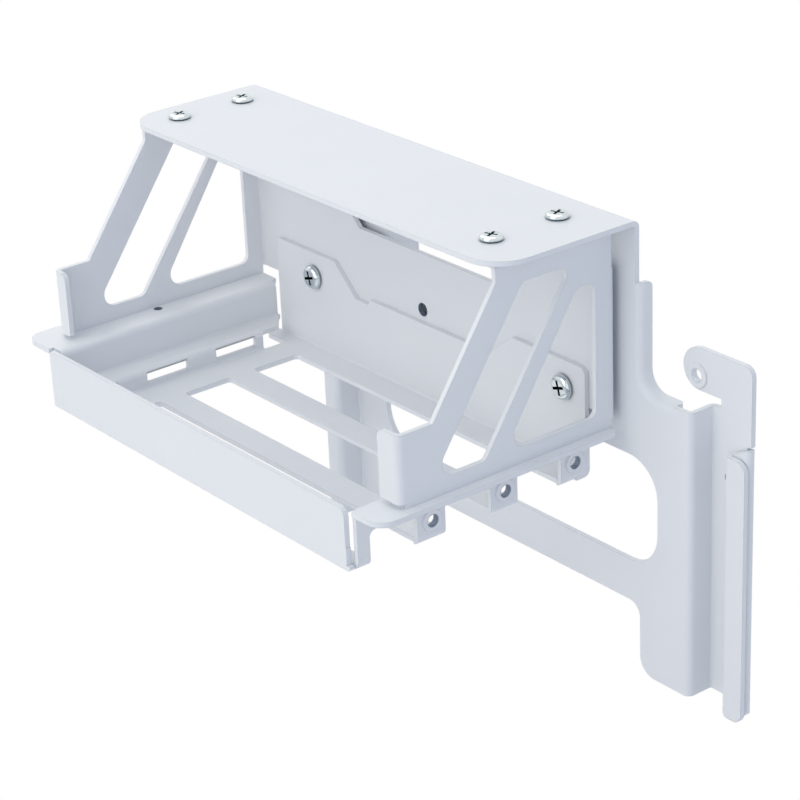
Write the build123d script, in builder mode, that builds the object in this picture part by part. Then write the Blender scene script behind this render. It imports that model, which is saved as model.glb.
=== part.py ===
"""Folded sheet metal bracket that holds an upright graphics card in a computer case.

Millimetres. Z is up. X runs along the card's end bracket, from the tongue slots
on the left to the screw tabs on the right. Y runs from the open front to the back.
Sizes are given from the card seat: X = 0 is the middle of the cage, Y = 0 the middle
of the centre slot opening and Z = 0 the top of the tray floor. The planes below move
everything so that the frame's origin is the tab hole that hangs the bracket in a case.
"""
from build123d import *
import os

os.makedirs("parts", exist_ok=True)

# Sheet
SHEET = 1.2
HALF = SHEET / 2
BEND_IN = 0.5
BEND_OUT = BEND_IN + SHEET
BEND_MID = BEND_IN + HALF

# Expansion slots of the card
PITCH = 20.32
OPENING_W = 13.3
OPENING_SHIFT = 0.3
TAB_WINDOW_W = 12.82
TONGUE_OFFSET = 4.9
TONGUE_SLOT_W = 12.1
TONGUE_SLOT_Z = 1.2
TONGUE_SLOT_H = 2.7
TAB_HOLE_OFFSET = 10.16
TAB_HOLE_Z = 3.8
CARD_LENGTH = 107.0

# Tray
TAB_FACE = 57.5
RISER_FACE = TAB_FACE - CARD_LENGTH
LEDGE_Z = 4.75
LEDGE_W = 6.2
LEFT_WALL = RISER_FACE - LEDGE_W
FRONT_STRIP = 3.83
BACK_STRIP = 6.88
BAR_END_W = 8.83
FRONT_IN = OPENING_SHIFT - PITCH - OPENING_W / 2 - FRONT_STRIP
FLOOR_BACK = OPENING_SHIFT + PITCH + OPENING_W / 2 + BACK_STRIP
FLANGE_TOP = 13.3
FRONT_TOP_DROP = 0.3
CORNER_GAP = 0.3
FRONT_WALL_GAP = 0.7
WALL_END_GAP = 1.25
LEDGE_END = 10.55
LEDGE_TIP = 4.9
RELIEF_BACK = 4.05
WINDOW_Z = 7.0
BACK_TOP = 25.0
BACK_DIP = 6.2
TRAY_SCREW_Z = 18.7
TRAY_SCREW_LEFT = 40.8
TRAY_SCREW_RIGHT = 50.4

# Cage
CAGE_HALF_W = 64.8
CAGE_H = 46.83
CAGE_TOP = FLANGE_TOP + CAGE_H
BACK_WALL_IN = FLOOR_BACK + SHEET
BACK_WALL_OUT = BACK_WALL_IN + SHEET
CAGE_DEPTH = 60.64
CAGE_FRONT = BACK_WALL_OUT - CAGE_DEPTH
LEFT_FORWARD = 0.9
LEFT_FLANGE_W = 5.0
RIGHT_FLANGE_W = 6.7
FRONT_FLANGE_H = 16.8
FRONT_FLANGE_LIFT = 1.0
TOP_FLANGE_EDGE = 5.0
TOP_FLANGE_SETBACK = 3.2
SLOPE_TOP = 2.5
WINDOW_SILL = 3.7
WINDOW_POST = 5.25
WINDOW_R = 2.2
WINDOW_LOW_R = 3.2
FRONT_WINDOW_W = 14.4
FRONT_WINDOW_HEAD = 5.83
FRONT_WINDOW_START = 18.5
REAR_WINDOW_HEAD = 11.63
REAR_WINDOW_BACK = 4.75
REAR_WINDOW_HEAD_W = 5.35
RIM_TOP = 9.4
BACK_WALL_BOTTOM = 1.9
BACK_WALL_TOP = 9.83
CUT_OUT_BOTTOM = 24.33
CUT_OUT_LEFT = 26.1
CUT_OUT_RIGHT = 29.0
CUT_OUT_CHAMFER = 2.9

# Cover, rear plate and arm
REAR_GAP = 1.61
REAR_F = BACK_WALL_OUT + REAR_GAP
REAR_B = REAR_F + SHEET
COVER_LEFT = 66.8
COVER_RIGHT = 69.0
COVER_DEPTH = 39.46
COVER_CORNER_R = 9.0
REAR_RIGHT = 70.45
LIP_DEPTH = 3.7
LIP_TOP = 47.4
LIP_END = 80.6
LIP_CURVE_R = 5.0
ARM_TOP = 22.2
ARM_BOTTOM = -47.1
ARM_RIGHT = 85.8
ARM_FOOT_LEFT = 70.35
LOWER_ARM_BOTTOM = -29.6
LOWER_ARM_H = 10.2
OPENING_LEFT = -19.1
OPENING_RIGHT = 75.9
OPENING_TOP = 6.6
OPENING_R = 9.0
STEP_BACK = 6.94
STEP_FRONT = 6.9
COLUMN_RIGHT = -13.3
COLUMN_LEFT = -30.2
COLUMN_BOTTOM = -42.0
STEP_TOP = -3.0
STRIP_W = 4.8
CASE_RIGHT = 96.9
TONGUE_GAP = 0.25
TONGUE_LEFT = 91.6
TONGUE_FOLD_RIGHT = 97.5
TONGUE_RIGHT = 97.85
TONGUE_TOP = 13.3
TONGUE_FOLD_TOP = 15.7
TONGUE_BOTTOM = -50.5
CASE_TAB_Z = 29.28
CASE_TAB_R = 4.9
CASE_TAB_ROOT = 2.2
CASE_TAB_REACH = 11.4
CASE_HOLE_IN = 4.3
CASE_HOLE_DROP = 1.58
CASE_HOLE_R = 1.65
CASE_RIM_R = 2.85
CASE_RIM_H = 0.4
CABLE_LEFT = -15.3
CABLE_RIGHT = 45.0
CABLE_BOTTOM = 27.0
CABLE_TOP = 52.0
CABLE_LIP_DEPTH = 8.9

# Screws and their holes
SCREW_R = 1.5
THREAD_PLAY = 0.04
CLEAR_R = 1.75
TRAY_HEAD_R = 3.05
TRAY_HEAD_H = 1.8
COVER_HEAD_R = 2.65
COVER_HEAD_H = 1.3
RECESS_W = 0.7
RIM_R = 2.55
RIM_H = 0.5
COLLAR_R = 2.3
COLLAR_H = 1.2
COVER_SCREW_INSET = 7.8
COVER_SCREW_SHIFT = -1.1
COVER_SCREW_FRONT_EDGE = 9.9
COVER_SCREW_BACK_EDGE = 11.2


CASE_TAB_LEFT = ARM_RIGHT + CASE_TAB_ROOT - CASE_TAB_REACH
CASE_HOLE_X = CASE_TAB_LEFT + CASE_HOLE_IN
CASE_HOLE_Z = CASE_TAB_Z - CASE_HOLE_DROP
ORIGIN_X = CASE_HOLE_X
ORIGIN_Y = REAR_F + STEP_BACK
ORIGIN_Z = CASE_HOLE_Z


def spot(x, y, z):
    """Place in the frame of a point given from the card seat."""
    return Vector(x - ORIGIN_X, y - ORIGIN_Y, z - ORIGIN_Z)


def at_y(y):
    """Upright plane at depth y, drawn as seen from the front."""
    return Plane(spot(0, y, 0), x_dir=(1, 0, 0), z_dir=(0, -1, 0))


def at_x(x):
    """Upright plane at x, drawn as seen from the right, with Y running right."""
    return Plane(spot(x, 0, 0), x_dir=(0, 1, 0), z_dir=(1, 0, 0))


def at_z(z):
    """Level plane at height z."""
    return Plane(spot(0, 0, z), x_dir=(1, 0, 0), z_dir=(0, 0, 1))


def draw(corners):
    """Draw a closed outline; a corner is (u, v) or (u, v, radius)."""
    with BuildSketch(mode=Mode.PRIVATE) as shape:
        with BuildLine():
            Polyline(*[corner[:2] for corner in corners], close=True)
        make_face()
        for corner in corners:
            if len(corner) == 3:
                point = Vector(corner[0], corner[1])
                fillet(shape.vertices().sort_by_distance(point)[0], radius=corner[2])
    add(shape.sketch)


def flat(plane, corners, amount=SHEET, mode=Mode.ADD):
    """Add a flat piece of sheet, or cut one away, along the plane's normal."""
    with BuildSketch(plane) as shape:
        draw(corners)
    extrude(shape.sketch, amount=amount, mode=mode)


def fold(plane, points, length, radius=BEND_MID):
    """Add a bent strip whose middle line runs through the points."""
    with BuildSketch(plane) as shape:
        with BuildLine():
            FilletPolyline(*points, radius=radius)
        trace(line_width=SHEET)
    extrude(shape.sketch, amount=length)


def drill(plane, spots, radius, depth):
    """Cut round holes against the plane's normal."""
    with BuildSketch(plane) as shape:
        with Locations(*spots):
            Circle(radius)
    extrude(shape.sketch, amount=-depth, mode=Mode.SUBTRACT)


def rims(plane, spots, radius, height):
    """Add round rims standing on the plane."""
    with BuildSketch(plane) as shape:
        with Locations(*spots):
            Circle(radius)
    extrude(shape.sketch, amount=height)


opening_centres = [-PITCH, 0, PITCH]
tab_hole_centres = [centre + TAB_HOLE_OFFSET for centre in opening_centres]
front_out = FRONT_IN - SHEET
wall_front = FRONT_IN + CORNER_GAP
ledge_back = FLOOR_BACK - LEDGE_END
left_flange = LEFT_WALL - 14.2
right_flange = TAB_FACE + 9.8

with BuildPart() as tray:
    # Floor with the front wall and the back flange bent up from it
    with_bends = [
        (FRONT_IN - HALF, 4.0),
        (FRONT_IN - HALF, -HALF),
        (BACK_WALL_IN - HALF, -HALF),
        (BACK_WALL_IN - HALF, 4.0),
    ]
    fold(at_x(RISER_FACE + BEND_IN), with_bends, CARD_LENGTH - BEND_IN - BEND_OUT)

    # Left side: riser with the tongue slots, ledge, wall and flange
    left_fold = [
        (RISER_FACE + 5, -HALF),
        (RISER_FACE - HALF, -HALF),
        (RISER_FACE - HALF, LEDGE_Z - HALF),
        (LEFT_WALL - HALF, LEDGE_Z - HALF),
        (LEFT_WALL - HALF, FLANGE_TOP - HALF),
        (LEFT_WALL - 5, FLANGE_TOP - HALF),
    ]
    fold(at_y(ledge_back), left_fold, ledge_back - wall_front)
    wall_back = FLOOR_BACK - WALL_END_GAP
    wall_foot = LEFT_WALL + BEND_IN + 0.4
    fold(at_y(wall_back), [(wall_foot, LEDGE_Z - HALF)] + left_fold[3:], wall_back - ledge_back)
    flat(at_z(LEDGE_Z - SHEET), [
        (wall_foot, ledge_back),
        (RISER_FACE, ledge_back),
        (RISER_FACE, ledge_back + LEDGE_TIP, 0.5),
        (wall_foot, wall_back - 0.4),
    ])
    flat(at_z(FLANGE_TOP - SHEET), [
        (LEFT_WALL - BEND_OUT, wall_front),
        (LEFT_WALL - BEND_OUT, wall_back),
        (LEFT_WALL - BEND_OUT, FLOOR_BACK + 0.35, 0.6),
        (left_flange, FLOOR_BACK + 0.35, 2.5),
        (left_flange, front_out + 0.2, 4.0),
        (LEFT_WALL - 3.6, front_out + 0.2),
        (LEFT_WALL - 3.6, wall_front),
    ])
    drill(at_z(FLANGE_TOP), [(LEFT_WALL - 6.3, 1.6)], 1.1, SHEET)

    # Floor strip that reaches left behind the relief, and the end of the front wall
    flat(at_z(-SHEET), [
        (RISER_FACE + 5, FLOOR_BACK - RELIEF_BACK),
        (RISER_FACE + 5, FLOOR_BACK),
        (LEFT_WALL - 1.3, FLOOR_BACK),
        (LEFT_WALL - 1.3, FLOOR_BACK - RELIEF_BACK, 1.0),
    ])
    flat(at_y(FRONT_IN), [
        (LEFT_WALL - 3.15, -SHEET),
        (TAB_FACE - HALF, -SHEET, 1.0),
        (TAB_FACE - HALF, 0),
        (TAB_FACE - SHEET - FRONT_WALL_GAP, 0),
        (TAB_FACE - SHEET - FRONT_WALL_GAP, FLANGE_TOP - FRONT_TOP_DROP, 2.0),
        (LEFT_WALL - 3.15, FLANGE_TOP - FRONT_TOP_DROP, 0.8),
    ])

    # Right side: wall with the card tabs, and its flange
    right_fold = [
        (TAB_FACE - 5, -HALF),
        (TAB_FACE - HALF, -HALF),
        (TAB_FACE - HALF, FLANGE_TOP - HALF),
        (TAB_FACE + 5, FLANGE_TOP - HALF),
    ]
    right_length = FLOOR_BACK + 0.08 - FRONT_IN - BEND_IN
    fold(at_y(FLOOR_BACK + 0.08), right_fold, right_length)
    flat(at_z(FLANGE_TOP - SHEET), [
        (TAB_FACE + BEND_IN, front_out + 0.2),
        (right_flange, front_out + 0.2, 4.5),
        (right_flange, FLOOR_BACK + 0.65, 1.5),
        (TAB_FACE + BEND_IN, FLOOR_BACK + 0.65),
    ])

    # Back flange that is screwed to the cage
    dip_z = BACK_TOP - BACK_DIP
    flat(at_y(BACK_WALL_IN), [
        (LEFT_WALL - 0.25, 0.2),
        (TAB_FACE - 0.2, 0.2),
        (TAB_FACE - 0.2, BACK_TOP, 2.0),
        (33.0, BACK_TOP, 1.0),
        (25.0, dip_z),
        (-18.7, dip_z),
        (-19.5, dip_z - 1.4),
        (-24.3, dip_z - 1.4),
        (-32.5, BACK_TOP, 1.0),
        (LEFT_WALL - 0.25, BACK_TOP, 1.0),
    ])
    back_left = [(BACK_WALL_IN - 4, -HALF), (BACK_WALL_IN - HALF, -HALF), (BACK_WALL_IN - HALF, 4)]
    fold(at_x(LEFT_WALL - 0.25), back_left, LEDGE_W + 1.45)
    fold(at_x(TAB_FACE - BEND_OUT - 1), back_left, BEND_OUT + 0.8)
    tray_screws = [(-TRAY_SCREW_LEFT, TRAY_SCREW_Z), (TRAY_SCREW_RIGHT, TRAY_SCREW_Z)]
    drill(at_y(FLOOR_BACK), tray_screws, CLEAR_R, SHEET)

    # Slot openings, running out through windows in the right wall
    for centre in opening_centres:
        middle = centre + OPENING_SHIFT
        flat(at_z(-SHEET), [
            (RISER_FACE + BAR_END_W, middle - OPENING_W / 2, 1.0),
            (TAB_FACE - BEND_OUT, middle - OPENING_W / 2),
            (TAB_FACE - BEND_OUT, middle + OPENING_W / 2),
            (RISER_FACE + BAR_END_W, middle + OPENING_W / 2, 1.0),
        ], mode=Mode.SUBTRACT)
        flat(at_x(TAB_FACE + 1), [
            (centre - TAB_WINDOW_W / 2, -SHEET - 1),
            (centre + TAB_WINDOW_W / 2, -SHEET - 1),
            (centre + TAB_WINDOW_W / 2, WINDOW_Z, 1.5),
            (centre - TAB_WINDOW_W / 2, WINDOW_Z, 1.5),
        ], amount=-SHEET - BEND_OUT - 1, mode=Mode.SUBTRACT)

    # Slots for the card tongues, and threaded holes for the card screws
    for centre in opening_centres:
        flat(at_x(RISER_FACE), [
            (centre - TONGUE_OFFSET - TONGUE_SLOT_W / 2, TONGUE_SLOT_Z),
            (centre - TONGUE_OFFSET + TONGUE_SLOT_W / 2, TONGUE_SLOT_Z, 0.4),
            (centre - TONGUE_OFFSET + TONGUE_SLOT_W / 2, TONGUE_SLOT_Z + TONGUE_SLOT_H, 0.4),
            (centre - TONGUE_OFFSET - TONGUE_SLOT_W / 2, TONGUE_SLOT_Z + TONGUE_SLOT_H),
        ], amount=-SHEET, mode=Mode.SUBTRACT)
    tab_holes = [(centre, TAB_HOLE_Z) for centre in tab_hole_centres]
    rims(at_x(TAB_FACE), tab_holes, RIM_R, RIM_H)
    drill(at_x(TAB_FACE + RIM_H), tab_holes, SCREW_R + THREAD_PLAY, RIM_H + SHEET)
tray.part.label = "tray"
export_step(tray.part, "parts/tray.step")

with BuildPart() as cage:
    # Side plates with their windows, front flanges and inward top flanges
    back_mid = BACK_WALL_OUT - HALF
    side_mid = CAGE_HALF_W - HALF
    flange_top_z = FLANGE_TOP + FRONT_FLANGE_H
    cover_front = REAR_B - COVER_DEPTH
    top_front = cover_front + TOP_FLANGE_SETBACK
    slope_top_z = CAGE_TOP - BEND_OUT - SLOPE_TOP
    front_edges = [(-1, CAGE_FRONT - LEFT_FORWARD, LEFT_FLANGE_W), (1, CAGE_FRONT, RIGHT_FLANGE_W)]
    for side, front, flange_w in front_edges:
        outer = at_x(side * CAGE_HALF_W)
        knee_y = front + RIM_TOP
        slope = (slope_top_z - flange_top_z) / (top_front - knee_y)
        flat(outer, [
            (front + BEND_OUT, FLANGE_TOP),
            (BACK_WALL_OUT - BEND_OUT, FLANGE_TOP),
            (BACK_WALL_OUT - BEND_OUT, CAGE_TOP - BACK_WALL_TOP),
            (BACK_WALL_IN, CAGE_TOP - BACK_WALL_TOP),
            (BACK_WALL_IN, CAGE_TOP - BEND_OUT),
            (top_front, CAGE_TOP - BEND_OUT),
            (top_front, slope_top_z),
            (knee_y, flange_top_z),
            (front + BEND_OUT, flange_top_z),
        ], amount=-side * SHEET)
        front_fold = [
            (side * (side_mid - 3), front + HALF),
            (side * side_mid, front + HALF),
            (side * side_mid, front + 4),
        ]
        flange_low = FLANGE_TOP + FRONT_FLANGE_LIFT
        fold(at_z(flange_low), front_fold, flange_top_z - flange_low)
        flat(at_y(front + SHEET), [
            (side * (side_mid - 2), flange_low),
            (side * (side_mid - 2), flange_top_z),
            (side * (CAGE_HALF_W - flange_w), flange_top_z, 2.0),
            (side * (CAGE_HALF_W - flange_w), flange_low, 0.5),
        ])
        back_fold = [
            (side * side_mid, back_mid - 4),
            (side * side_mid, back_mid),
            (side * (side_mid - 4), back_mid),
        ]
        wall_low = FLANGE_TOP + BACK_WALL_BOTTOM
        fold(at_z(wall_low), back_fold, CAGE_H - BACK_WALL_BOTTOM - BACK_WALL_TOP)
        top_fold = [
            (side * side_mid, CAGE_TOP - 4),
            (side * side_mid, CAGE_TOP - HALF),
            (side * (CAGE_HALF_W - COVER_SCREW_INSET - TOP_FLANGE_EDGE), CAGE_TOP - HALF),
        ]
        fold(at_y(BACK_WALL_IN), top_fold, BACK_WALL_IN - top_front)
        sill_z = FLANGE_TOP + WINDOW_SILL
        low_y = top_front - FRONT_WINDOW_START
        head_z = CAGE_TOP - FRONT_WINDOW_HEAD
        lean = (head_z - sill_z) / slope
        flat(outer, [
            (low_y, sill_z, WINDOW_LOW_R),
            (low_y + FRONT_WINDOW_W, sill_z, WINDOW_R),
            (low_y + FRONT_WINDOW_W + lean, head_z, WINDOW_R),
            (low_y + lean, head_z, WINDOW_R),
        ], amount=-side * SHEET, mode=Mode.SUBTRACT)
        low_y = low_y + FRONT_WINDOW_W + WINDOW_POST
        back_y = BACK_WALL_IN - REAR_WINDOW_BACK
        head_z = CAGE_TOP - REAR_WINDOW_HEAD
        flat(outer, [
            (low_y, sill_z, WINDOW_LOW_R),
            (back_y, sill_z, WINDOW_R),
            (back_y, head_z, WINDOW_R),
            (back_y - REAR_WINDOW_HEAD_W, head_z, WINDOW_R),
        ], amount=-side * SHEET, mode=Mode.SUBTRACT)

    # Back wall, low in the middle, with a cable hole
    flat(at_y(BACK_WALL_OUT), [
        (-side_mid + 3, FLANGE_TOP + BACK_WALL_BOTTOM),
        (side_mid - 3, FLANGE_TOP + BACK_WALL_BOTTOM),
        (side_mid - 3, CAGE_TOP - BACK_WALL_TOP),
        (CUT_OUT_RIGHT, CAGE_TOP - BACK_WALL_TOP, 1.0),
        (CUT_OUT_RIGHT, CAGE_TOP - CUT_OUT_BOTTOM + CUT_OUT_CHAMFER),
        (CUT_OUT_RIGHT - CUT_OUT_CHAMFER, CAGE_TOP - CUT_OUT_BOTTOM),
        (-CUT_OUT_LEFT + CUT_OUT_CHAMFER, CAGE_TOP - CUT_OUT_BOTTOM),
        (-CUT_OUT_LEFT, CAGE_TOP - CUT_OUT_BOTTOM + CUT_OUT_CHAMFER),
        (-CUT_OUT_LEFT, CAGE_TOP - BACK_WALL_TOP, 1.0),
        (-side_mid + 3, CAGE_TOP - BACK_WALL_TOP),
    ])
    drill(at_y(BACK_WALL_IN), [(0, FLANGE_TOP + 8.3)], 1.7, SHEET)

    # Threaded collars for the tray and cover screws
    rims(at_y(BACK_WALL_OUT + COLLAR_H), tray_screws, COLLAR_R, COLLAR_H)
    drill(at_y(BACK_WALL_IN), tray_screws, SCREW_R + THREAD_PLAY, SHEET + COLLAR_H)
    cover_screws = [
        (COVER_SCREW_SHIFT + side * (CAGE_HALF_W - COVER_SCREW_INSET), y)
        for side in (-1, 1)
        for y in (cover_front + COVER_SCREW_FRONT_EDGE, REAR_B - COVER_SCREW_BACK_EDGE)
    ]
    rims(at_z(CAGE_TOP - SHEET - COLLAR_H), cover_screws, COLLAR_R, COLLAR_H)
    drill(at_z(CAGE_TOP), cover_screws, SCREW_R + THREAD_PLAY, SHEET + COLLAR_H)
cage.part.label = "cage"
export_step(cage.part, "parts/cage.step")

with BuildPart() as cover:
    # Top plate
    rear_mid = REAR_B - HALF
    flat(at_z(CAGE_TOP), [
        (-COVER_LEFT, cover_front, COVER_CORNER_R),
        (COVER_RIGHT, cover_front, COVER_CORNER_R),
        (COVER_RIGHT, REAR_B - BEND_OUT),
        (-COVER_LEFT, REAR_B - BEND_OUT),
    ])
    top_back_fold = [
        (rear_mid - 4, CAGE_TOP + HALF),
        (rear_mid, CAGE_TOP + HALF),
        (rear_mid, CAGE_TOP - 4),
    ]
    fold(at_x(-COVER_LEFT), top_back_fold, COVER_LEFT + COVER_RIGHT)
    drill(at_z(CAGE_TOP + SHEET), cover_screws, CLEAR_R, SHEET)

    # Rear plate with the arm opening and the cable window
    arm_flat_end = ARM_RIGHT - BEND_OUT
    flat(at_y(REAR_B), [
        (-COVER_LEFT, CAGE_TOP - BEND_IN),
        (COVER_RIGHT, CAGE_TOP - BEND_IN),
        (COVER_RIGHT, LIP_TOP),
        (REAR_RIGHT - BEND_OUT, LIP_TOP),
        (REAR_RIGHT - BEND_OUT, ARM_TOP - BEND_OUT, LIP_CURVE_R + BEND_OUT),
        (LIP_END, ARM_TOP - BEND_OUT),
        (LIP_END, ARM_TOP),
        (arm_flat_end, ARM_TOP),
        (arm_flat_end, ARM_BOTTOM),
        (ARM_FOOT_LEFT, ARM_BOTTOM, 4.5),
        (ARM_FOOT_LEFT, LOWER_ARM_BOTTOM, 3.5),
        (COLUMN_RIGHT, LOWER_ARM_BOTTOM, 1.5),
        (COLUMN_RIGHT, COLUMN_BOTTOM, 4.0),
        (COLUMN_LEFT + BEND_IN, COLUMN_BOTTOM),
        (COLUMN_LEFT + BEND_IN, STEP_TOP + 1, 0.5),
        (COLUMN_LEFT - SHEET, STEP_TOP + 1, 0.5),
        (COLUMN_LEFT - SHEET, 3.0, 3.0),
        (-COVER_LEFT, 40.0, 5.0),
    ])
    flat(at_y(REAR_B), [
        (OPENING_LEFT, OPENING_TOP, OPENING_R),
        (OPENING_RIGHT, OPENING_TOP, OPENING_R),
        (OPENING_RIGHT, LOWER_ARM_BOTTOM + LOWER_ARM_H, OPENING_R),
        (OPENING_LEFT, LOWER_ARM_BOTTOM + LOWER_ARM_H, OPENING_R),
    ], mode=Mode.SUBTRACT)
    flat(at_y(REAR_B), [
        (CABLE_LEFT - BEND_OUT, CABLE_BOTTOM, 1.0),
        (CABLE_RIGHT, CABLE_BOTTOM, 3.0),
        (CABLE_RIGHT, CABLE_TOP, 3.0),
        (CABLE_LEFT - BEND_OUT, CABLE_TOP, 1.0),
    ], mode=Mode.SUBTRACT)
    cable_lip = [
        (CABLE_LEFT - 5, rear_mid),
        (CABLE_LEFT - HALF, rear_mid),
        (CABLE_LEFT - HALF, REAR_F + CABLE_LIP_DEPTH),
    ]
    fold(at_z(CABLE_BOTTOM + 1), cable_lip, CABLE_TOP - CABLE_BOTTOM - 2)

    # Lip bent back along the right edge and round the inner corner
    with BuildLine(at_y(REAR_F)) as lip_path:
        FilletPolyline(
            (REAR_RIGHT, LIP_TOP),
            (REAR_RIGHT, ARM_TOP),
            (LIP_END, ARM_TOP),
            radius=LIP_CURVE_R,
        )
    with BuildSketch(at_z(LIP_TOP)) as lip:
        with BuildLine():
            FilletPolyline(
                (REAR_RIGHT - BEND_OUT - 0.2, rear_mid),
                (REAR_RIGHT - HALF, rear_mid),
                (REAR_RIGHT - HALF, REAR_F + LIP_DEPTH),
                radius=BEND_MID,
            )
        trace(line_width=SHEET)
    sweep(lip.sketch, path=lip_path.line)
    for corner in (
        spot(REAR_RIGHT - HALF, REAR_F + LIP_DEPTH, LIP_TOP),
        spot(LIP_END, REAR_F + LIP_DEPTH, ARM_TOP - HALF),
    ):
        fillet(cover.edges().sort_by_distance(corner)[0], radius=1.4)

    # Step back to the case plate
    case_front = REAR_F + STEP_BACK
    case_mid = case_front + HALF
    step_back_fold = [
        (ARM_RIGHT - 5, rear_mid),
        (ARM_RIGHT - HALF, rear_mid),
        (ARM_RIGHT - HALF, case_mid),
        (ARM_RIGHT + 4, case_mid),
    ]
    fold(at_z(ARM_BOTTOM), step_back_fold, ARM_TOP - ARM_BOTTOM)
    flat(at_y(case_front + SHEET), [
        (ARM_RIGHT + 1.5, ARM_BOTTOM + 0.2),
        (TONGUE_LEFT + 1.0, ARM_BOTTOM + 0.2),
        (TONGUE_LEFT + 1.0, TONGUE_TOP - 1.0),
        (TONGUE_FOLD_RIGHT - BEND_OUT, TONGUE_TOP - 1.0),
        (TONGUE_FOLD_RIGHT - BEND_OUT, TONGUE_FOLD_TOP, 0.3),
        (CASE_RIGHT, TONGUE_FOLD_TOP, 0.3),
        (CASE_RIGHT, CASE_TAB_Z + CASE_TAB_R, 2.5),
        (CASE_TAB_LEFT, CASE_TAB_Z + CASE_TAB_R, CASE_TAB_R - 0.01),
        (CASE_TAB_LEFT, CASE_TAB_Z - CASE_TAB_R, CASE_TAB_R - 0.01),
        (ARM_RIGHT + CASE_TAB_ROOT, CASE_TAB_Z - CASE_TAB_R),
        (ARM_RIGHT + CASE_TAB_ROOT, ARM_TOP + 0.2),
        (ARM_RIGHT + 1.5, ARM_TOP + 0.2),
    ])
    case_holes = [(CASE_HOLE_X, CASE_HOLE_Z)]
    rims(at_y(case_front), case_holes, CASE_RIM_R, CASE_RIM_H)
    drill(at_y(case_front - CASE_RIM_H), case_holes, CASE_HOLE_R, CASE_RIM_H + SHEET)

    # Tongue: the plate's free edge folded forward, then back on itself
    turn_mid_r = (SHEET + TONGUE_GAP) / 2
    leaf_mid = case_mid - 2 * turn_mid_r
    front_mid = leaf_mid - 2 * turn_mid_r
    right_turn = TONGUE_FOLD_RIGHT - turn_mid_r - HALF
    left_turn = TONGUE_LEFT + turn_mid_r + HALF
    with BuildPart() as back_leaf:
        flat(at_y(case_front + SHEET), [
            (TONGUE_LEFT, TONGUE_BOTTOM, 2.4),
            (TONGUE_FOLD_RIGHT, TONGUE_BOTTOM, 3.2),
            (TONGUE_FOLD_RIGHT, TONGUE_FOLD_TOP),
            (TONGUE_LEFT, TONGUE_TOP),
        ], amount=2 * SHEET + TONGUE_GAP)
        with BuildSketch(at_z(TONGUE_BOTTOM)) as turn:
            with BuildLine():
                Line((TONGUE_LEFT, case_mid), (right_turn, case_mid))
                CenterArc((right_turn, case_mid - turn_mid_r), turn_mid_r, -90, 180)
                Line((right_turn, leaf_mid), (left_turn, leaf_mid))
            trace(line_width=SHEET)
        extrude(turn.sketch, amount=TONGUE_FOLD_TOP - TONGUE_BOTTOM, mode=Mode.INTERSECT)
    with BuildPart() as front_leaf:
        flat(at_y(leaf_mid + HALF), [
            (TONGUE_LEFT, TONGUE_BOTTOM, 2.4),
            (TONGUE_RIGHT, TONGUE_BOTTOM, 2.4),
            (TONGUE_RIGHT, TONGUE_TOP, 2.8),
            (TONGUE_LEFT, TONGUE_TOP, 0.6),
        ], amount=2 * SHEET + TONGUE_GAP)
        with BuildSketch(at_z(TONGUE_BOTTOM)) as turn:
            with BuildLine():
                Line((left_turn + 0.4, leaf_mid), (left_turn, leaf_mid))
                CenterArc((left_turn, leaf_mid - turn_mid_r), turn_mid_r, 90, 180)
                Line((left_turn, front_mid), (TONGUE_RIGHT, front_mid))
            trace(line_width=SHEET)
        extrude(turn.sketch, amount=TONGUE_TOP - TONGUE_BOTTOM, mode=Mode.INTERSECT)
    add(back_leaf.part)
    add(front_leaf.part)
    drill(at_y(case_front), [(ARM_RIGHT + 5.2, 6.6)], 1.7, SHEET)

    # Step forward at the foot of the left column
    column_fold = [
        (COLUMN_LEFT + 4, rear_mid),
        (COLUMN_LEFT - HALF, rear_mid),
        (COLUMN_LEFT - HALF, REAR_F - STEP_FRONT + HALF),
        (COLUMN_LEFT - STRIP_W, REAR_F - STEP_FRONT + HALF),
    ]
    fold(at_z(COLUMN_BOTTOM), column_fold, STEP_TOP - COLUMN_BOTTOM)
cover.part.label = "cover"
export_step(cover.part, "parts/cover.step")


def pan_screw(plane, length, head_r, head_h):
    """Pan head screw with a cross recess; the head stands on the plane."""
    axis = Axis(plane.origin, plane.z_dir)
    with BuildPart() as screw:
        with BuildSketch(plane):
            Circle(head_r)
        extrude(amount=head_h)
        rings = screw.edges().filter_by(GeomType.CIRCLE).sort_by(axis)
        fillet(rings[-1], radius=head_h * 0.7)
        rings = screw.edges().filter_by(GeomType.CIRCLE).sort_by(axis)
        chamfer(rings[0], length=head_h * 0.25)
        with BuildSketch(plane.offset(head_h)):
            Rectangle(head_r * 1.15, RECESS_W)
            Rectangle(RECESS_W, head_r * 1.15)
        extrude(amount=-head_h * 0.65, taper=12, mode=Mode.SUBTRACT)
        with BuildSketch(plane):
            Circle(SCREW_R)
        extrude(amount=-length)
        rings = screw.edges().filter_by(GeomType.CIRCLE).sort_by(axis)
        chamfer(rings[0], length=0.3)
    return screw.part


cover_length = 2 * SHEET + COLLAR_H + 1.2
cover_names = ["left_front", "left_back", "right_front", "right_back"]
for name, (x, y) in zip(cover_names, cover_screws):
    seat = Plane(spot(x, y, CAGE_TOP + SHEET), x_dir=(1, 0.4, 0), z_dir=(0, 0, 1))
    screw = pan_screw(seat, cover_length, COVER_HEAD_R, COVER_HEAD_H)
    screw.label = "cover_screw_" + name
    export_step(screw, "parts/cover_screw_" + name + ".step")

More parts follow.
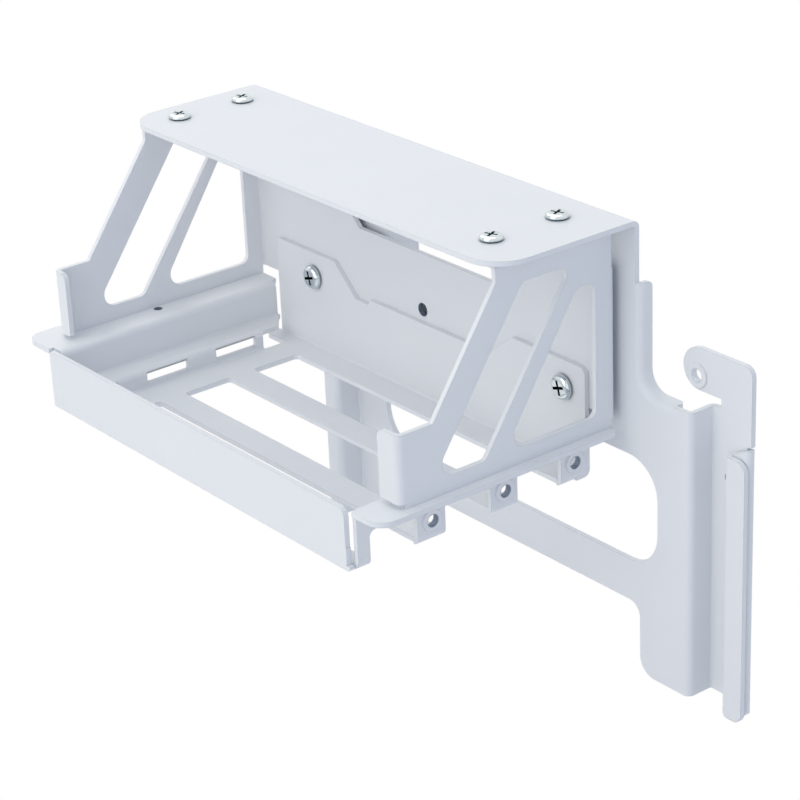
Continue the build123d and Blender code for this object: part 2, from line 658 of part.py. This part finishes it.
tray_length = 2 * SHEET + COLLAR_H - 0.2
for name, (x, z) in zip(["left", "right"], tray_screws):
    seat = Plane(spot(x, FLOOR_BACK, z), x_dir=(1, 0, 0.3), z_dir=(0, -1, 0))
    screw = pan_screw(seat, tray_length, TRAY_HEAD_R, TRAY_HEAD_H)
    screw.label = "tray_screw_" + name
    export_step(screw, "parts/tray_screw_" + name + ".step")
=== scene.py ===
"""Looks of the graphics card bracket: white powder coat, bright zinc screws, plain studio light."""
from math import cos, pi, sin

import bpy
from mathutils import Matrix, Vector


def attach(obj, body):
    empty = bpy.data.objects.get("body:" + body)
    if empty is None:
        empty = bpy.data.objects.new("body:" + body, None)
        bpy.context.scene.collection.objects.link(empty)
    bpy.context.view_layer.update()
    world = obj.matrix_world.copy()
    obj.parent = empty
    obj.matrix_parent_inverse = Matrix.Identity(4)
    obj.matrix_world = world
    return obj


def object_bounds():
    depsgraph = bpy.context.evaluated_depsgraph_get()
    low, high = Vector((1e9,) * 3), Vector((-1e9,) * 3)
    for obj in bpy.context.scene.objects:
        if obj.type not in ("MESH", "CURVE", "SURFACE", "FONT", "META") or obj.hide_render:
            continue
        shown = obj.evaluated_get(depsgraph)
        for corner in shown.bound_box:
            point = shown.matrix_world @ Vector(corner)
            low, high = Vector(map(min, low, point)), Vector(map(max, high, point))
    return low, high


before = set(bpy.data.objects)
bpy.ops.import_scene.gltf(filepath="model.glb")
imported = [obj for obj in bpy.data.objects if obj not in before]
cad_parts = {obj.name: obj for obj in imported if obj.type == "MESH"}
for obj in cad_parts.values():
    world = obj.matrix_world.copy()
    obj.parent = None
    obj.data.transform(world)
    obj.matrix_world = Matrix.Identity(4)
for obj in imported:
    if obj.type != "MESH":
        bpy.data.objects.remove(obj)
size_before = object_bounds()
scene = bpy.context.scene

MM = 0.001
PURE_WHITE = (1.0, 1.0, 1.0)

# Powder coat
COAT_SHADE = (0.805, 0.815, 0.836)
COAT_LIGHT = (0.835, 0.843, 0.860)
# Painted shade: a cooler, darker coat tone laid into tight corners, out to this reach
PAINTED_CORNER_SHADE = (0.70, 0.735, 0.80)
CORNER_SHADE_REACH = 3.0 * MM
COAT_EDGE = 0.25 * MM
COAT_SPECULAR = 0.45

# Zinc plate of the screws
ZINC_DULL = (0.56, 0.63, 0.66)
ZINC_BRIGHT = (0.78, 0.82, 0.84)
# Painted shade: a dark teal tone laid down in the screw drive recess, out to this reach
PAINTED_RECESS_SHADE = (0.02, 0.07, 0.09)
RECESS_SHADE_REACH = 1.3 * MM
SCREW_EDGE = 0.12 * MM

# Holes that carry a thread, in mm
SHEET = 1.2
TAB_RIM = 0.5
CASE_RIM = 0.4
SLOT_PITCH = 20.32
CARD_TABS = 3
FIRST_TAB_HOLE = (-22.9, -55.26, -23.9)
WALL_PLAY = 0.02

# Mesh of a thread sleeve: steps round it, rows for each turn of the thread, thinnest share of its depth
AROUND = 36
ROWS_A_TURN = 6
ROOT_SHARE = 0.15
INNER, OUTER = 0, 1
LEFT = (-1, 0, 0)
BACKWARD = (0, 1, 0)
DOWN = (0, 0, -1)

# Camera at the photograph's view
SENSOR_WIDTH = 36.0
LENS = 115.65
CLIP_START = 0.01
CLIP_END = 10.0
CAMERA_PLACE = Vector((355.53, -356.28, 223.94)) * MM
CAMERA_RIGHT = Vector((0.626782, 0.778161, -0.040127))
CAMERA_BACK = Vector((0.719413, -0.558144, 0.413425))

# Floor, in metres
FLOOR_HALF = 1.5
FLOOR_DROP = 0.002
FLOOR_SHADE = (0.78, 0.79, 0.82)
FLOOR_LIGHT = (0.80, 0.81, 0.84)

# Light from the surroundings: axis, direction along it and tone
SKY_SIDES = (
    ("X", 1.0, (0.45, 0.54, 0.72)),
    ("X", -1.0, (0.86, 0.86, 0.86)),
    ("Y", 1.0, (1.10, 1.10, 1.10)),
    ("Y", -1.0, (0.60, 0.63, 0.67)),
    ("Z", 1.0, (0.24, 0.30, 0.36)),
    ("Z", -1.0, (0.62, 0.68, 0.76)),
)
SKY_FALLOFF = 2.0

# Softboxes: name, direction from the bracket, power in watts and tint
BRACKET_MIDDLE = Vector((-70.0, -30.0, -20.0)) * MM
BOX_DISTANCE = 1.2
BOX_SIZE = 0.9
WARM = (1.0, 0.975, 0.925)
SOFTBOXES = (
    ("key", (0.0, -0.7, 0.7), 3.2, WARM),
    ("top", (0.0, 0.0, 1.0), 2.5, WARM),
    ("front", (0.1, -1.0, 0.15), 2.3, (1.0, 0.98, 0.94)),
    ("top_left", (-0.7, 0.0, 0.7), 2.4, PURE_WHITE),
    ("front_right", (0.7, -0.7, 0.1), 0.35, PURE_WHITE),
)


def principled(name):
    """New node material; returns the material, its node tree and its shader."""
    mat = bpy.data.materials.new(name)
    mat.use_nodes = True
    return mat, mat.node_tree, mat.node_tree.nodes["Principled BSDF"]


def object_coords(tree):
    """Place on the object, in metres."""
    return tree.nodes.new("ShaderNodeTexCoord").outputs["Object"]


def noise(tree, coords, scale, detail, roughness=0.5):
    """Noise texture in object space, with its scale in waves per metre."""
    node = tree.nodes.new("ShaderNodeTexNoise")
    node.inputs["Scale"].default_value = scale
    node.inputs["Detail"].default_value = detail
    node.inputs["Roughness"].default_value = roughness
    tree.links.new(coords, node.inputs["Vector"])
    return node.outputs["Fac"]


def spread(tree, value, low, high, start=0.3, end=0.7):
    """Map a value that runs from start to end onto the range from low to high."""
    node = tree.nodes.new("ShaderNodeMapRange")
    node.inputs["From Min"].default_value = start
    node.inputs["From Max"].default_value = end
    node.inputs["To Min"].default_value = low
    node.inputs["To Max"].default_value = high
    tree.links.new(value, node.inputs["Value"])
    return node.outputs["Result"]


def blend_tones(tree, factor, low, high):
    """Mix two colours by a factor; low and high are colours or sockets."""
    mix = tree.nodes.new("ShaderNodeMix")
    mix.data_type = "RGBA"
    tree.links.new(factor, mix.inputs["Factor"])
    for side, tone in (("A", low), ("B", high)):
        if isinstance(tone, tuple):
            mix.inputs[side].default_value = tone + (1.0,)
        else:
            tree.links.new(tone, mix.inputs[side])
    return mix.outputs["Result"]


def openness(tree, reach):
    """How open a point is to its surroundings: 0 in a tight corner, 1 on a free face."""
    node = tree.nodes.new("ShaderNodeAmbientOcclusion")
    node.samples = 6
    node.inputs["Distance"].default_value = reach
    return node.outputs["AO"]


def soft_edge(tree, radius):
    """Normal that runs round every edge with the given radius."""
    node = tree.nodes.new("ShaderNodeBevel")
    node.samples = 4
    node.inputs["Radius"].default_value = radius
    return node.outputs["Normal"]


def bump(tree, height, normal, strength, depth):
    """Normal with a fine relief over it."""
    node = tree.nodes.new("ShaderNodeBump")
    node.inputs["Strength"].default_value = strength
    node.inputs["Distance"].default_value = depth
    tree.links.new(height, node.inputs["Height"])
    tree.links.new(normal, node.inputs["Normal"])
    return node.outputs["Normal"]


def powder_coat():
    """White powder coat: faint orange peel, soft gloss, rounded edges, and painted shade, cooler and
    darker, in tight corners.
    """
    mat, tree, shader = principled("powder_coat_white")
    coords = object_coords(tree)
    peel = noise(tree, coords, scale=900.0, detail=2.0)
    grain = noise(tree, coords, scale=3200.0, detail=2.0)
    cloud = noise(tree, coords, scale=60.0, detail=3.0)
    coat = blend_tones(tree, cloud, COAT_SHADE, COAT_LIGHT)
    # Painted shade: the coat turns to the darker corner tone where a point is closed in
    corner = spread(tree, openness(tree, CORNER_SHADE_REACH), low=0.0, high=1.0, start=0.15, end=0.6)
    coat = blend_tones(tree, corner, PAINTED_CORNER_SHADE, coat)
    tree.links.new(coat, shader.inputs["Base Color"])
    tree.links.new(spread(tree, grain, low=0.40, high=0.52), shader.inputs["Roughness"])
    shader.inputs["Specular IOR Level"].default_value = COAT_SPECULAR
    normal = soft_edge(tree, COAT_EDGE)
    normal = bump(tree, peel, normal, strength=0.10, depth=0.05 * MM)
    normal = bump(tree, grain, normal, strength=0.06, depth=0.02 * MM)
    tree.links.new(normal, shader.inputs["Normal"])
    return mat


def zinc():
    """Bright zinc plate with faint handling marks, and painted shade, dark teal, down in the drive
    recess.
    """
    mat, tree, shader = principled("zinc_plate")
    coords = object_coords(tree)
    marks = noise(tree, coords, scale=1400.0, detail=4.0, roughness=0.6)
    cloud = noise(tree, coords, scale=500.0, detail=2.0)
    metal = blend_tones(tree, cloud, ZINC_DULL, ZINC_BRIGHT)
    # Painted shade down in the drive recess, where a point is closed in
    recess = spread(tree, openness(tree, RECESS_SHADE_REACH), low=0.0, high=1.0, start=0.4, end=0.9)
    metal = blend_tones(tree, recess, PAINTED_RECESS_SHADE, metal)
    tree.links.new(metal, shader.inputs["Base Color"])
    shader.inputs["Metallic"].default_value = 1.0
    tree.links.new(spread(tree, marks, low=0.05, high=0.15), shader.inputs["Roughness"])
    normal = soft_edge(tree, SCREW_EDGE)
    normal = bump(tree, marks, normal, strength=0.15, depth=0.02 * MM)
    tree.links.new(normal, shader.inputs["Normal"])
    return mat


def thread_metal(name, dark, light):
    """Thread wall whose tone wanders between two colours."""
    mat, tree, shader = principled(name)
    wear = noise(tree, object_coords(tree), scale=1500.0, detail=3.0)
    tree.links.new(blend_tones(tree, wear, dark, light), shader.inputs["Base Color"])
    shader.inputs["Metallic"].default_value = 0.3
    tree.links.new(spread(tree, wear, low=0.35, high=0.5), shader.inputs["Roughness"])
    return mat


def thread(name, mouth, axis, radius, length, pitch, depth, finish):
    """Threaded sleeve that lines a bore from its mouth along an axis, sizes in mm."""
    rows = int(length / pitch * ROWS_A_TURN) + 1
    along = Vector(axis)
    side = along.orthogonal().normalized()
    other = along.cross(side)
    wall_radius = radius - WALL_PLAY
    verts = []
    for row in range(rows + 1):
        reach = length * row / rows
        for step in range(AROUND):
            turn = step / AROUND
            place = (reach / pitch - turn) % 1.0
            crest = 1.0 - abs(2.0 * place - 1.0)
            thread_radius = wall_radius - depth * (ROOT_SHARE + (1.0 - ROOT_SHARE) * crest)
            out = side * cos(2 * pi * turn) + other * sin(2 * pi * turn)
            for size in (thread_radius, wall_radius):
                verts.append((Vector(mouth) + along * reach + out * size) * MM)

    def corner(row, step, wall):
        return 2 * (row * AROUND + step % AROUND) + wall

    faces = []
    for row in range(rows):
        for step in range(AROUND):
            for wall in (INNER, OUTER):
                quad = [corner(row, step, wall), corner(row, step + 1, wall),
                        corner(row + 1, step + 1, wall), corner(row + 1, step, wall)]
                faces.append(quad if wall == OUTER else quad[::-1])
    for row in (0, rows):
        for step in range(AROUND):
            quad = [corner(row, step, INNER), corner(row, step + 1, INNER),
                    corner(row, step + 1, OUTER), corner(row, step, OUTER)]
            faces.append(quad if row == 0 else quad[::-1])
    mesh = bpy.data.meshes.new(name)
    mesh.from_pydata(verts, [], faces)
    mesh.materials.append(finish)
    piece = bpy.data.objects.new(name, mesh)
    scene.collection.objects.link(piece)
    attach(piece, "root")


def add_camera():
    """Camera at the photograph's view."""
    data = bpy.data.cameras.new("camera")
    data.sensor_width = SENSOR_WIDTH
    data.sensor_fit = "HORIZONTAL"
    data.lens = LENS
    data.clip_start = CLIP_START
    data.clip_end = CLIP_END
    camera = bpy.data.objects.new("camera", data)
    scene.collection.objects.link(camera)
    camera_up = CAMERA_BACK.cross(CAMERA_RIGHT)
    turn = Matrix((CAMERA_RIGHT, camera_up, CAMERA_BACK)).transposed()
    camera.matrix_world = Matrix.Translation(CAMERA_PLACE) @ turn.to_4x4()
    scene.camera = camera


def clear_sight(tree):
    """1 for a ray that shows the surroundings: straight to the camera, or by way of metal or glass."""
    path = tree.nodes.new("ShaderNodeLightPath")
    value = path.outputs["Is Camera Ray"]
    for kind in ("Is Glossy Ray", "Is Transmission Ray"):
        node = tree.nodes.new("ShaderNodeMath")
        node.operation = "MAXIMUM"
        tree.links.new(value, node.inputs[0])
        tree.links.new(path.outputs[kind], node.inputs[1])
        value = node.outputs[0]
    return value


def white_in_sight(tree, glow_kind, other, output_kind):
    """Finish a node tree: pure white where the surroundings are seen, and the other shader elsewhere."""
    glow = tree.nodes.new(glow_kind)
    glow.inputs["Color"].default_value = PURE_WHITE + (1.0,)
    glow.inputs["Strength"].default_value = 1.0
    choose = tree.nodes.new("ShaderNodeMixShader")
    tree.links.new(clear_sight(tree), choose.inputs["Fac"])
    tree.links.new(other.outputs[0], choose.inputs[1])
    tree.links.new(glow.outputs[0], choose.inputs[2])
    output = tree.nodes.new(output_kind)
    tree.links.new(choose.outputs[0], output.inputs["Surface"])


def floor_white():
    """White floor: as pure white as the surroundings when seen, and a pale matt floor for the light."""
    mat = bpy.data.materials.new("floor_white")
    mat.use_nodes = True
    tree = mat.node_tree
    tree.nodes.clear()
    matt = tree.nodes.new("ShaderNodeBsdfDiffuse")
    grain = noise(tree, object_coords(tree), scale=40.0, detail=2.0)
    tree.links.new(blend_tones(tree, grain, FLOOR_SHADE, FLOOR_LIGHT), matt.inputs["Color"])
    white_in_sight(tree, "ShaderNodeEmission", matt, "ShaderNodeOutputMaterial")
    return mat


def add_floor():
    """Plain pale floor just below the bracket."""
    height = size_before[0][2] - FLOOR_DROP
    corners = [(x * FLOOR_HALF, y * FLOOR_HALF, height) for x, y in ((-1, -1), (1, -1), (1, 1), (-1, 1))]
    mesh = bpy.data.meshes.new("floor")
    mesh.from_pydata(corners, [], [(0, 1, 2, 3)])
    mesh.materials.append(floor_white())
    floor = bpy.data.objects.new("floor", mesh)
    scene.collection.objects.link(floor)


def sky_math(tree, operation, value, number):
    """One number step on the way to a sky tone."""
    node = tree.nodes.new("ShaderNodeMath")
    node.operation = operation
    node.inputs[1].default_value = number
    tree.links.new(value, node.inputs[0])
    return node.outputs[0]


def sky_side(tree, heading, sign, tone):
    """Soft glow from one side of the room, fading to nothing at right angles to it."""
    facing = sky_math(tree, "MULTIPLY", heading, sign)
    facing = sky_math(tree, "MAXIMUM", facing, 0.0)
    glow = tree.nodes.new("ShaderNodeVectorMath")
    glow.operation = "SCALE"
    glow.inputs[0].default_value = tone
    tree.links.new(sky_math(tree, "POWER", facing, SKY_FALLOFF), glow.inputs["Scale"])
    return glow.outputs[0]


def add_world():
    """White surroundings: pure white when seen, and softer, with a tone for each side, as light."""
    world = bpy.data.worlds.new("studio")
    scene.world = world
    world.use_nodes = True
    tree = world.node_tree
    tree.nodes.clear()
    heading = tree.nodes.new("ShaderNodeSeparateXYZ")
    tree.links.new(tree.nodes.new("ShaderNodeTexCoord").outputs["Generated"], heading.inputs[0])
    sides = [sky_side(tree, heading.outputs[axis], sign, tone) for axis, sign, tone in SKY_SIDES]
    total = sides[0]
    for side in sides[1:]:
        join = tree.nodes.new("ShaderNodeVectorMath")
        join.operation = "ADD"
        tree.links.new(total, join.inputs[0])
        tree.links.new(side, join.inputs[1])
        total = join.outputs[0]
    lit = tree.nodes.new("ShaderNodeBackground")
    lit.inputs["Strength"].default_value = 1.0
    tree.links.new(total, lit.inputs["Color"])
    white_in_sight(tree, "ShaderNodeBackground", lit, "ShaderNodeOutputWorld")


def softbox(name, direction, power, tint):
    """Square area light that points at the middle of the bracket."""
    light = bpy.data.lights.new(name, "AREA")
    light.size = BOX_SIZE
    light.energy = power
    light.color = tint
    lamp = bpy.data.objects.new(name, light)
    scene.collection.objects.link(lamp)
    away = Vector(direction).normalized()
    lamp.location = BRACKET_MIDDLE + away * BOX_DISTANCE
    lamp.rotation_euler = away.to_track_quat("Z", "Y").to_euler()


# Finishes of the sheets and screws
white = powder_coat()
plate = zinc()
for name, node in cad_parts.items():
    node.data.materials.clear()
    node.data.materials.append(plate if "screw" in name else white)

# Threads cut in the holes
# Thread tones: partly bare steel and partly painted shade, bluish and dark, down in the bores. The card
# tab threads get a lighter painted shade, and the case tab thread keeps the coat's own colour.
dark_thread_steel_and_shade = thread_metal("dark_thread_steel_and_shade", (0.07, 0.09, 0.13), (0.20, 0.24, 0.31))
mid_thread_steel_and_shade = thread_metal("mid_thread_steel_and_shade", (0.22, 0.26, 0.34), (0.42, 0.47, 0.56))
coated_thread = thread_metal("coated_thread", (0.76, 0.79, 0.83), (0.84, 0.86, 0.89))
tab_x, tab_y, tab_z = FIRST_TAB_HOLE
for tab in range(CARD_TABS):
    thread(f"thread_card_tab_{tab + 1}", mouth=(tab_x, tab_y + tab * SLOT_PITCH, tab_z), axis=LEFT,
           radius=1.54, length=SHEET + TAB_RIM, pitch=0.5, depth=0.12, finish=mid_thread_steel_and_shade)
thread("thread_case_tab", mouth=(0.0, -CASE_RIM, 0.0), axis=BACKWARD,
       radius=1.65, length=SHEET + CASE_RIM, pitch=0.55, depth=0.22, finish=coated_thread)
thread("thread_case_hole", mouth=(10.1, 0.0, -21.1), axis=BACKWARD,
       radius=1.7, length=SHEET, pitch=0.7, depth=0.3, finish=dark_thread_steel_and_shade)
thread("thread_cage_wall", mouth=(-80.9, -9.75, -6.1), axis=BACKWARD,
       radius=1.7, length=SHEET, pitch=0.5, depth=0.25, finish=dark_thread_steel_and_shade)
thread("thread_tray_flange", mouth=(-142.9, -43.5, -14.4), axis=DOWN,
       radius=1.1, length=SHEET, pitch=0.4, depth=0.2, finish=dark_thread_steel_and_shade)

# Studio
add_camera()
add_floor()
add_world()
for box in SOFTBOXES:
    softbox(*box)
scene.view_settings.view_transform = "Standard"
